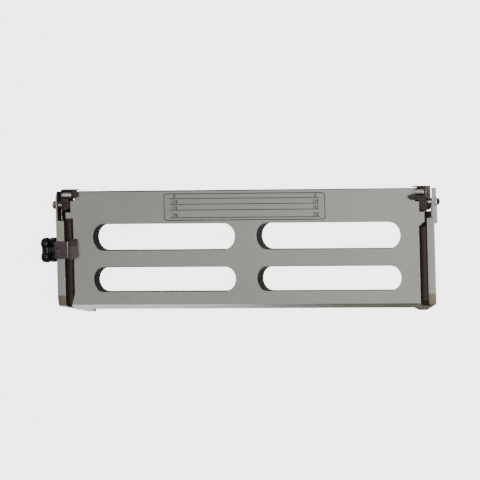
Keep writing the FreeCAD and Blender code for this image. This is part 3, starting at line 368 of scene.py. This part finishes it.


# Painted light on the underside band: near white at the left end (painted highlight), darkening to brown at
# the right (painted shade).
UNDERSIDE_PAINTED_LIGHT = [(0.0, (0.97, 0.97, 0.96)), (0.25, (0.80, 0.84, 0.87)), (0.45, (0.55, 0.60, 0.64)),
               (0.6, (0.28, 0.27, 0.27)), (0.8, (0.13, 0.11, 0.095)), (1.0, (0.085, 0.072, 0.058))]
finishes = {
    # The aluminium's wall colour is painted shade on walls, recess floors and top chamfers, its slope colour
    # is painted shade on the lower lead-in bevels, and its underside ramp is painted light.
    "blasted_aluminium": make_finish("blasted_aluminium", (0.27, 0.265, 0.24), (0.36, 0.36, 0.33),
                                     (0.25, 0.235, 0.21),
                                     (0.42, 0.43, 0.41), 1100.0, 0.62, 0.35, 0.5, 6.0, 0.18, 0.45,
                                     specular=0.25, wall_shade=(0.020, 0.010, 0.008), slope_shade=(0.17, 0.14, 0.095),
                                     underside_light=UNDERSIDE_PAINTED_LIGHT),
    "bronzed_steel": make_finish("bronzed_steel", (0.018, 0.011, 0.009), (0.060, 0.041, 0.033),
                                 (0.030, 0.020, 0.017),
                                 (0.20, 0.155, 0.12), 700.0, 0.4, 0.4, 0.45, 40.0, 0.45),
    "cast_block": make_finish("cast_block", (0.010, 0.006, 0.007), (0.105, 0.072, 0.078),
                              (0.045, 0.028, 0.033),
                              (0.22, 0.17, 0.18), 420.0, 0.5, 0.3, 0.9, 60.0, 0.5, cloud_amount=0.4),
    "worn_casting": make_finish("worn_casting", (0.040, 0.032, 0.028), (0.115, 0.098, 0.088),
                                (0.07, 0.056, 0.05),
                                (0.24, 0.21, 0.19), 520.0, 0.46, 0.3, 0.7, 60.0, 0.4),
    "black_plastic": make_finish("black_plastic", (0.0025, 0.0020, 0.0025), (0.006, 0.005, 0.006),
                                 (0.004, 0.003, 0.004),
                                 (0.02, 0.018, 0.02), 900.0, 0.27, 0.0, 0.15, 50.0, 0.25, specular=0.25),
    "bright_steel": make_finish("bright_steel", (0.16, 0.145, 0.125), (0.29, 0.27, 0.24), (0.12, 0.105, 0.09),
                                (0.60, 0.58, 0.55), 1500.0, 0.22, 0.95, 0.25, 90.0, 0.5),
    "polished_steel": make_finish("polished_steel", (0.48, 0.465, 0.43), (0.66, 0.645, 0.61),
                                  (0.40, 0.38, 0.34),
                                  (0.80, 0.79, 0.76), 1500.0, 0.17, 1.0, 0.15, 90.0, 0.5),
    "black_steel": make_finish("black_steel", (0.012, 0.012, 0.013), (0.03, 0.03, 0.03), (0.02, 0.017, 0.015),
                               (0.16, 0.15, 0.14), 900.0, 0.38, 0.7, 0.35, 60.0, 0.5),
    "brass": make_finish("brass", (0.42, 0.28, 0.10), (0.62, 0.44, 0.19), (0.30, 0.20, 0.08),
                         (0.80, 0.64, 0.36), 1300.0, 0.3, 0.95, 0.25, 80.0, 0.5),
    "scale_plate": make_finish("scale_plate", (0.25, 0.245, 0.225), (0.31, 0.305, 0.28), (0.235, 0.22, 0.20),
                               (0.40, 0.40, 0.38), 1500.0, 0.5, 0.25, 0.25, 8.0, 0.15),
    "scale_ink": make_finish("scale_ink", (0.014, 0.012, 0.011), (0.035, 0.03, 0.028), (0.02, 0.018, 0.017),
                             (0.12, 0.11, 0.10), 1400.0, 0.55, 0.0, 0.2, 60.0, 0.4),
}


def put_finish(piece, name):
    piece.data.materials.clear()
    piece.data.materials.append(finishes[name])


for node_name, node in nodes.items():
    put_finish(node, slot_of[node_name])
print(len(nodes), "packed pieces,", len(finishes), "finishes")

# %% [markdown]
# ## Broken edges
#
# No machined or cast edge is knife sharp: a file or a tumbler has taken it off, and that thin facet is
# what catches the light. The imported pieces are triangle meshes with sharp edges. A copy of each is
# merged, its flat faces are dissolved back into single polygons, and a Bevel modifier rounds only the
# edges that turn sharply.

# %% Helper for softened copies
def deselect_all():
    if bpy.context.object and bpy.context.object.mode != "OBJECT":
        bpy.ops.object.mode_set(mode="OBJECT")
    bpy.ops.object.select_all(action="DESELECT")


def make_active(piece):
    deselect_all()
    bpy.context.view_layer.objects.active = piece
    piece.select_set(True)


def apply_modifier(piece, modifier):
    make_active(piece)
    bpy.ops.object.modifier_apply(modifier=modifier.name)


def smooth(piece, degrees=35):
    make_active(piece)
    bpy.ops.object.shade_smooth_by_angle(angle=math.radians(degrees))


def settle(piece, name, finish, node_names):
    """Name a new piece, give it its finish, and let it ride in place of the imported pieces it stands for."""
    piece.name = name
    piece.data.name = name
    put_finish(piece, finish)
    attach(piece, body_of[node_names[0]])
    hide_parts(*node_names)


def softened_copy(node_name, width_mm, segments=2, turn=40):
    """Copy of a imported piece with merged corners, whole flat faces and bevelled edges."""
    deselect_all()
    piece = nodes[node_name].copy()
    piece.data = nodes[node_name].data.copy()
    piece.parent = None
    for key in list(piece.keys()):
        del piece[key]
    bpy.context.scene.collection.objects.link(piece)
    make_active(piece)
    bpy.ops.object.mode_set(mode="EDIT")
    bpy.ops.mesh.select_all(action="SELECT")
    bpy.ops.mesh.remove_doubles(threshold=0.000005)
    bpy.ops.mesh.dissolve_limited(angle_limit=math.radians(2))
    bpy.ops.object.mode_set(mode="OBJECT")
    bevel = piece.modifiers.new("broken_edge", "BEVEL")
    bevel.width = width_mm * MM
    bevel.segments = segments
    bevel.limit_method = "ANGLE"
    bevel.angle_limit = math.radians(turn)
    bevel.use_clamp_overlap = True
    apply_modifier(piece, bevel)
    smooth(piece)
    settle(piece, f"{node_name}_finished", slot_of[node_name], [node_name])
    return piece


SOFT_EDGES = {
    "left_lever": 0.5, "right_lever": 0.5, "stop_block": 0.55, "stop_finger": 0.4,
    "left_end_rail": 0.35, "right_end_rail": 0.35, "right_pivot_nut": 0.35,
}
for node_name, width in SOFT_EDGES.items():
    finished = softened_copy(node_name, width)
    print(node_name, "now has", len(finished.data.polygons), "faces")

# %% [markdown]
# ## Stop finger
#
# The finger is one casting. Its shank in the groove takes the darker bronzed finish, and the bevel at the top
# of the nose takes it too as painted shade, since that face turns up, away from the light. A second material
# slot on the same mesh does this with no extra piece, and the faces are picked by where they lie and how
# they look. A thin steel shim shows as a bright line beside the block.

# %% Finger tones and shim
finger = bpy.data.objects["stop_finger_finished"]
finger_low, finger_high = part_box("stop_finger")
SHANK_WIDTH = 6.2 * MM
finger.data.materials.append(finishes["bronzed_steel"])
for face in finger.data.polygons:
    on_shank = face.center.x < finger_low.x + SHANK_WIDTH
    # Painted shade: the faces of the nose's top bevel that turn up take the darker finish.
    on_shaded_bevel = face.normal.y > 0.2 and face.normal.z > 0.1
    face.material_index = 1 if on_shank or on_shaded_bevel else 0
print("dark faces on the finger:", sum(face.material_index for face in finger.data.polygons))

SHIM_WIDTH = 0.9 * MM
SHIM_PROUD = 0.12 * MM
block_low, block_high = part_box("stop_block")
deselect_all()
bpy.ops.mesh.primitive_cube_add(
    size=1, location=(finger_low.x + 1.4 * MM, (block_low.y + block_high.y) / 2, block_high.z),
    scale=(SHIM_WIDTH, block_high.y - block_low.y - 1.2 * MM, 2 * SHIM_PROUD))
shim = bpy.context.object
bpy.ops.object.transform_apply(location=True, rotation=True, scale=True)
shim_edge = shim.modifiers.new("edge", "BEVEL")
shim_edge.width = 0.08 * MM
shim_edge.segments = 2
apply_modifier(shim, shim_edge)
smooth(shim)
shim.name = shim.data.name = "stop_shim"
put_finish(shim, "polished_steel")
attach(shim, body_of["stop_finger"])

# %% [markdown]
# ## Knob
#
# A moulded four-lobed knob has no sharp corner anywhere: the lobes flow into the middle. It could be
# lofted, but it is quicker to lay five round-edged discs over one another, let a voxel remesh melt them
# into one skin, and smooth the skin, which is close to what the mould's fillets do.

# %% Knob
def add_disc(place, radius, length, rounding, sides=48):
    """Round-edged disc with its axis along X, made from a primitive cylinder and bevelled in edit mode."""
    deselect_all()
    bpy.ops.mesh.primitive_cylinder_add(vertices=sides, radius=radius, depth=length, location=place,
                                        rotation=(0, math.pi / 2, 0))
    disc = bpy.context.object
    bpy.ops.object.transform_apply(location=True, rotation=True, scale=True)
    bpy.ops.object.mode_set(mode="EDIT")
    bpy.ops.mesh.select_all(action="DESELECT")
    bpy.ops.object.mode_set(mode="OBJECT")
    for edge in disc.data.edges:
        ends = [disc.data.vertices[index].co for index in edge.vertices]
        edge.select = abs(ends[0].x - ends[1].x) < 1e-7
    bpy.ops.object.mode_set(mode="EDIT")
    bpy.ops.mesh.select_mode(type="EDGE")
    bpy.ops.mesh.bevel(offset=rounding, segments=4, affect="EDGES")
    bpy.ops.object.mode_set(mode="OBJECT")
    return disc


def join(pieces):
    deselect_all()
    for piece in pieces:
        piece.select_set(True)
    bpy.context.view_layer.objects.active = pieces[0]
    bpy.ops.object.join()
    return bpy.context.object


LOBE_RADIUS = 6.8 * MM
LOBE_CIRCLE = 10.8 * MM
LOBE_LENGTH = 10.0 * MM
HUB_RADIUS = 8.6 * MM
CORE_RADIUS = 12.9 * MM
KNOB_VOXEL = 0.0004
knob_low, knob_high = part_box("knob")
knob_middle = (knob_low + knob_high) / 2
lobe_x = knob_low.x + LOBE_LENGTH / 2
discs = []
for quarter in range(4):
    angle = math.pi / 4 + quarter * math.pi / 2
    place = (lobe_x, knob_middle.y + LOBE_CIRCLE * math.cos(angle),
             knob_middle.z + LOBE_CIRCLE * math.sin(angle))
    discs.append(add_disc(place, LOBE_RADIUS, LOBE_LENGTH, 3.2 * MM))
discs.append(add_disc((lobe_x + 0.2 * MM, knob_middle.y, knob_middle.z),
                      CORE_RADIUS, LOBE_LENGTH - 0.8 * MM, 2.6 * MM))
hub_length = knob_high.x - lobe_x
discs.append(add_disc((lobe_x + hub_length / 2, knob_middle.y, knob_middle.z),
                      HUB_RADIUS, hub_length, 0.6 * MM))
knob = join(discs)
melt = knob.modifiers.new("melt", "REMESH")
melt.mode = "VOXEL"
melt.voxel_size = KNOB_VOXEL
apply_modifier(knob, melt)
relax = knob.modifiers.new("relax", "SMOOTH")
relax.factor = 0.6
relax.iterations = 5
apply_modifier(knob, relax)
smooth(knob, 60)
settle(knob, "knob_moulding", "black_plastic", ["knob"])
knob_size = [round(side / MM, 1) for side in knob.dimensions]
print("knob has", len(knob.data.polygons), "faces and is", knob_size, "mm")

# %% [markdown]
# ## Rollers
#
# A roller is turned from bar: two rounded ends and a pair of shallow grooves that hold grease. Here the
# blank is a many-sided cylinder with bevelled ends. Four bisect cuts mark the sides of the grooves, and
# an inset with depth sinks the narrow bands between them, which is what the lathe tool does.

# %% Rollers
GROOVE_WIDTH = 0.5 * MM
GROOVE_SINK = 0.18 * MM


def turn_roller(node_name):
    low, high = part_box(node_name)
    middle = (low + high) / 2
    radius = (high.z - low.z) / 2
    roller = add_disc(middle, radius, high.x - low.x, 0.4 * MM, sides=72)
    groove_middles = [low.x + (high.x - low.x) * share for share in (0.2, 0.8)]
    bpy.ops.object.mode_set(mode="EDIT")
    for groove in groove_middles:
        for side in (-1, 1):
            bpy.ops.mesh.select_all(action="SELECT")
            bpy.ops.mesh.bisect(plane_co=(groove + side * GROOVE_WIDTH / 2, 0, 0), plane_no=(1, 0, 0))
    bpy.ops.mesh.select_all(action="DESELECT")
    bpy.ops.object.mode_set(mode="OBJECT")
    for face in roller.data.polygons:
        in_groove = any(abs(face.center.x - groove) < GROOVE_WIDTH / 2 for groove in groove_middles)
        face.select = in_groove and abs(face.normal.x) < 0.5
    bpy.ops.object.mode_set(mode="EDIT")
    bpy.ops.mesh.select_mode(type="FACE")
    bpy.ops.mesh.inset(thickness=0.06 * MM, depth=-GROOVE_SINK)
    bpy.ops.object.mode_set(mode="OBJECT")
    smooth(roller, 40)
    settle(roller, f"{node_name}_turned", slot_of[node_name], [node_name])
    return roller


for node_name in ("left_roller", "right_roller"):
    turned = turn_roller(node_name)
    print(turned.name, "has", len(turned.data.polygons), "faces")

# %% [markdown]
# ## Hinge springs
#
# A torsion spring is round wire wound on a mandrel. The Screw modifier does the winding: a small circle
# of wire is swept round the pivot line while it moves along it, so the coils share out its length. A tail
# of wire runs down into the rail's pocket, as on the bench.

# %% Hinge springs
WIRE = 0.62 * MM
COILS = 5


def wind_spring(node_name):
    low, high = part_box(node_name)
    coil = 3.6 * MM
    pivot_y = high.y - coil - 0.55 * MM
    pivot_z = low.z + coil + 0.55 * MM
    start, length = low.x + WIRE, high.x - low.x - 2 * WIRE
    deselect_all()
    bpy.ops.mesh.primitive_circle_add(vertices=14, radius=WIRE, location=(coil, 0, 0),
                                      rotation=(math.pi / 2, 0, 0), fill_type="NOTHING")
    spring = bpy.context.object
    bpy.ops.object.transform_apply(location=True, rotation=True, scale=True)
    wind = spring.modifiers.new("wind", "SCREW")
    wind.axis = "Z"
    wind.angle = 2 * math.pi
    wind.iterations = COILS
    wind.screw_offset = length / COILS
    wind.steps = wind.render_steps = 30
    apply_modifier(spring, wind)
    bpy.ops.object.mode_set(mode="EDIT")
    bpy.ops.mesh.select_mode(type="EDGE")
    bpy.ops.mesh.select_all(action="SELECT")
    bpy.ops.mesh.remove_doubles(threshold=0.000001)
    bpy.ops.mesh.select_all(action="DESELECT")
    bpy.ops.mesh.select_non_manifold()
    bpy.ops.mesh.edge_face_add()
    bpy.ops.mesh.select_all(action="SELECT")
    bpy.ops.mesh.normals_make_consistent(inside=False)
    bpy.ops.object.mode_set(mode="OBJECT")
    spring.rotation_euler = (0, math.pi / 2, 0)
    spring.location = (start, pivot_y, pivot_z)
    make_active(spring)
    bpy.ops.object.transform_apply(location=True, rotation=True, scale=True)
    deselect_all()
    bpy.ops.mesh.primitive_cylinder_add(vertices=14, radius=WIRE, depth=pivot_y - low.y,
                                        location=(start, (pivot_y + low.y) / 2, pivot_z - coil),
                                        rotation=(math.pi / 2, 0, 0))
    tail = bpy.context.object
    bpy.ops.object.transform_apply(location=True, rotation=True, scale=True)
    spring = join([spring, tail])
    smooth(spring, 50)
    settle(spring, f"{node_name}_wire", "bright_steel", [node_name])


for node_name in ("left_hinge_spring", "right_hinge_spring"):
    wind_spring(node_name)

# %% [markdown]
# ## Rulings on the scale plate
#
# The scale plate carries a border, four long lines and a row of plain fractions at each end. Ink has
# almost no thickness, but lines that are real geometry stay crisp at any distance. Each line is a thin
# bar with bevelled ends, and the figures are text turned into mesh.

# %% Rulings and figures
scale_low, scale_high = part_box("scale_plate")
INK_THICK = 0.05 * MM
LINE_DROPS = (6.1, 12.6, 19.4, 28.2)
FIGURES = ("0", "1/4", "1/2", "7/8")
LINE_WIDTH = 0.85 * MM
LINE_INSET = 8.0 * MM
BORDER_WIDTH = 0.9 * MM
BORDER_CORNER = 4.0 * MM
FIGURE_HEIGHT = 4.4 * MM
ink_z = scale_high.z


def ruled_line(low_x, high_x, y, width):
    deselect_all()
    bpy.ops.mesh.primitive_cube_add(size=1, location=((low_x + high_x) / 2, y, ink_z + INK_THICK / 2),
                                    scale=(high_x - low_x, width, INK_THICK))
    line = bpy.context.object
    bpy.ops.object.transform_apply(location=True, rotation=True, scale=True)
    rounding = line.modifiers.new("ends", "BEVEL")
    rounding.width = width * 0.3
    rounding.segments = 2
    rounding.affect = "EDGES"
    rounding.limit_method = "WEIGHT"
    weights = line.data.attributes.new("bevel_weight_edge", "FLOAT", "EDGE")
    for edge in line.data.edges:
        ends = [line.data.vertices[index].co for index in edge.vertices]
        weights.data[edge.index].value = 1.0 if abs(ends[0].z - ends[1].z) > INK_THICK / 2 else 0.0
    apply_modifier(line, rounding)
    return line


def rounded_border():
    """Ring with round corners: a bevelled plane, inset, with its middle deleted, given thickness."""
    deselect_all()
    centre = (scale_low + scale_high) / 2
    bpy.ops.mesh.primitive_plane_add(size=1, location=(centre.x, centre.y, ink_z))
    border = bpy.context.object
    border.scale = (scale_high.x - scale_low.x - 0.2 * MM, scale_high.y - scale_low.y - 0.2 * MM, 1)
    bpy.ops.object.transform_apply(location=True, rotation=True, scale=True)
    bpy.ops.object.mode_set(mode="EDIT")
    bpy.ops.mesh.select_all(action="SELECT")
    bpy.ops.mesh.bevel(offset=BORDER_CORNER, segments=8, affect="VERTICES")
    bpy.ops.mesh.select_all(action="SELECT")
    bpy.ops.mesh.inset(thickness=BORDER_WIDTH)
    bpy.ops.mesh.delete(type="FACE")
    bpy.ops.mesh.select_all(action="SELECT")
    bpy.ops.mesh.extrude_region_move(TRANSFORM_OT_translate={"value": (0, 0, INK_THICK)})
    bpy.ops.mesh.select_all(action="SELECT")
    bpy.ops.mesh.normals_make_consistent(inside=False)
    bpy.ops.object.mode_set(mode="OBJECT")
    return border


def figure(text, x, y):
    deselect_all()
    bpy.ops.object.text_add(location=(x, y, ink_z))
    label = bpy.context.object
    label.data.body = text
    label.data.size = FIGURE_HEIGHT * 1.35
    label.data.align_x = "CENTER"
    label.data.extrude = INK_THICK
    label.data.offset = 0.12 * MM
    label.data.resolution_u = 3
    bpy.ops.object.convert(target="MESH")
    bpy.ops.object.transform_apply(location=True, rotation=True, scale=True)
    return bpy.context.object


inked = [rounded_border()]
for drop, text in zip(LINE_DROPS, FIGURES):
    y = scale_high.y - drop * MM
    inked.append(ruled_line(scale_low.x + LINE_INSET, scale_high.x - LINE_INSET, y, LINE_WIDTH))
    for x in (scale_low.x + 15 * MM, scale_high.x - 13 * MM):
        inked.append(figure(text, x, y + 0.9 * MM))
rulings = join(inked)
rulings.name = rulings.data.name = "scale_rulings"
put_finish(rulings, "scale_ink")
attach(rulings, body_of["scale_plate"])
print("rulings have", len(rulings.data.polygons), "faces")
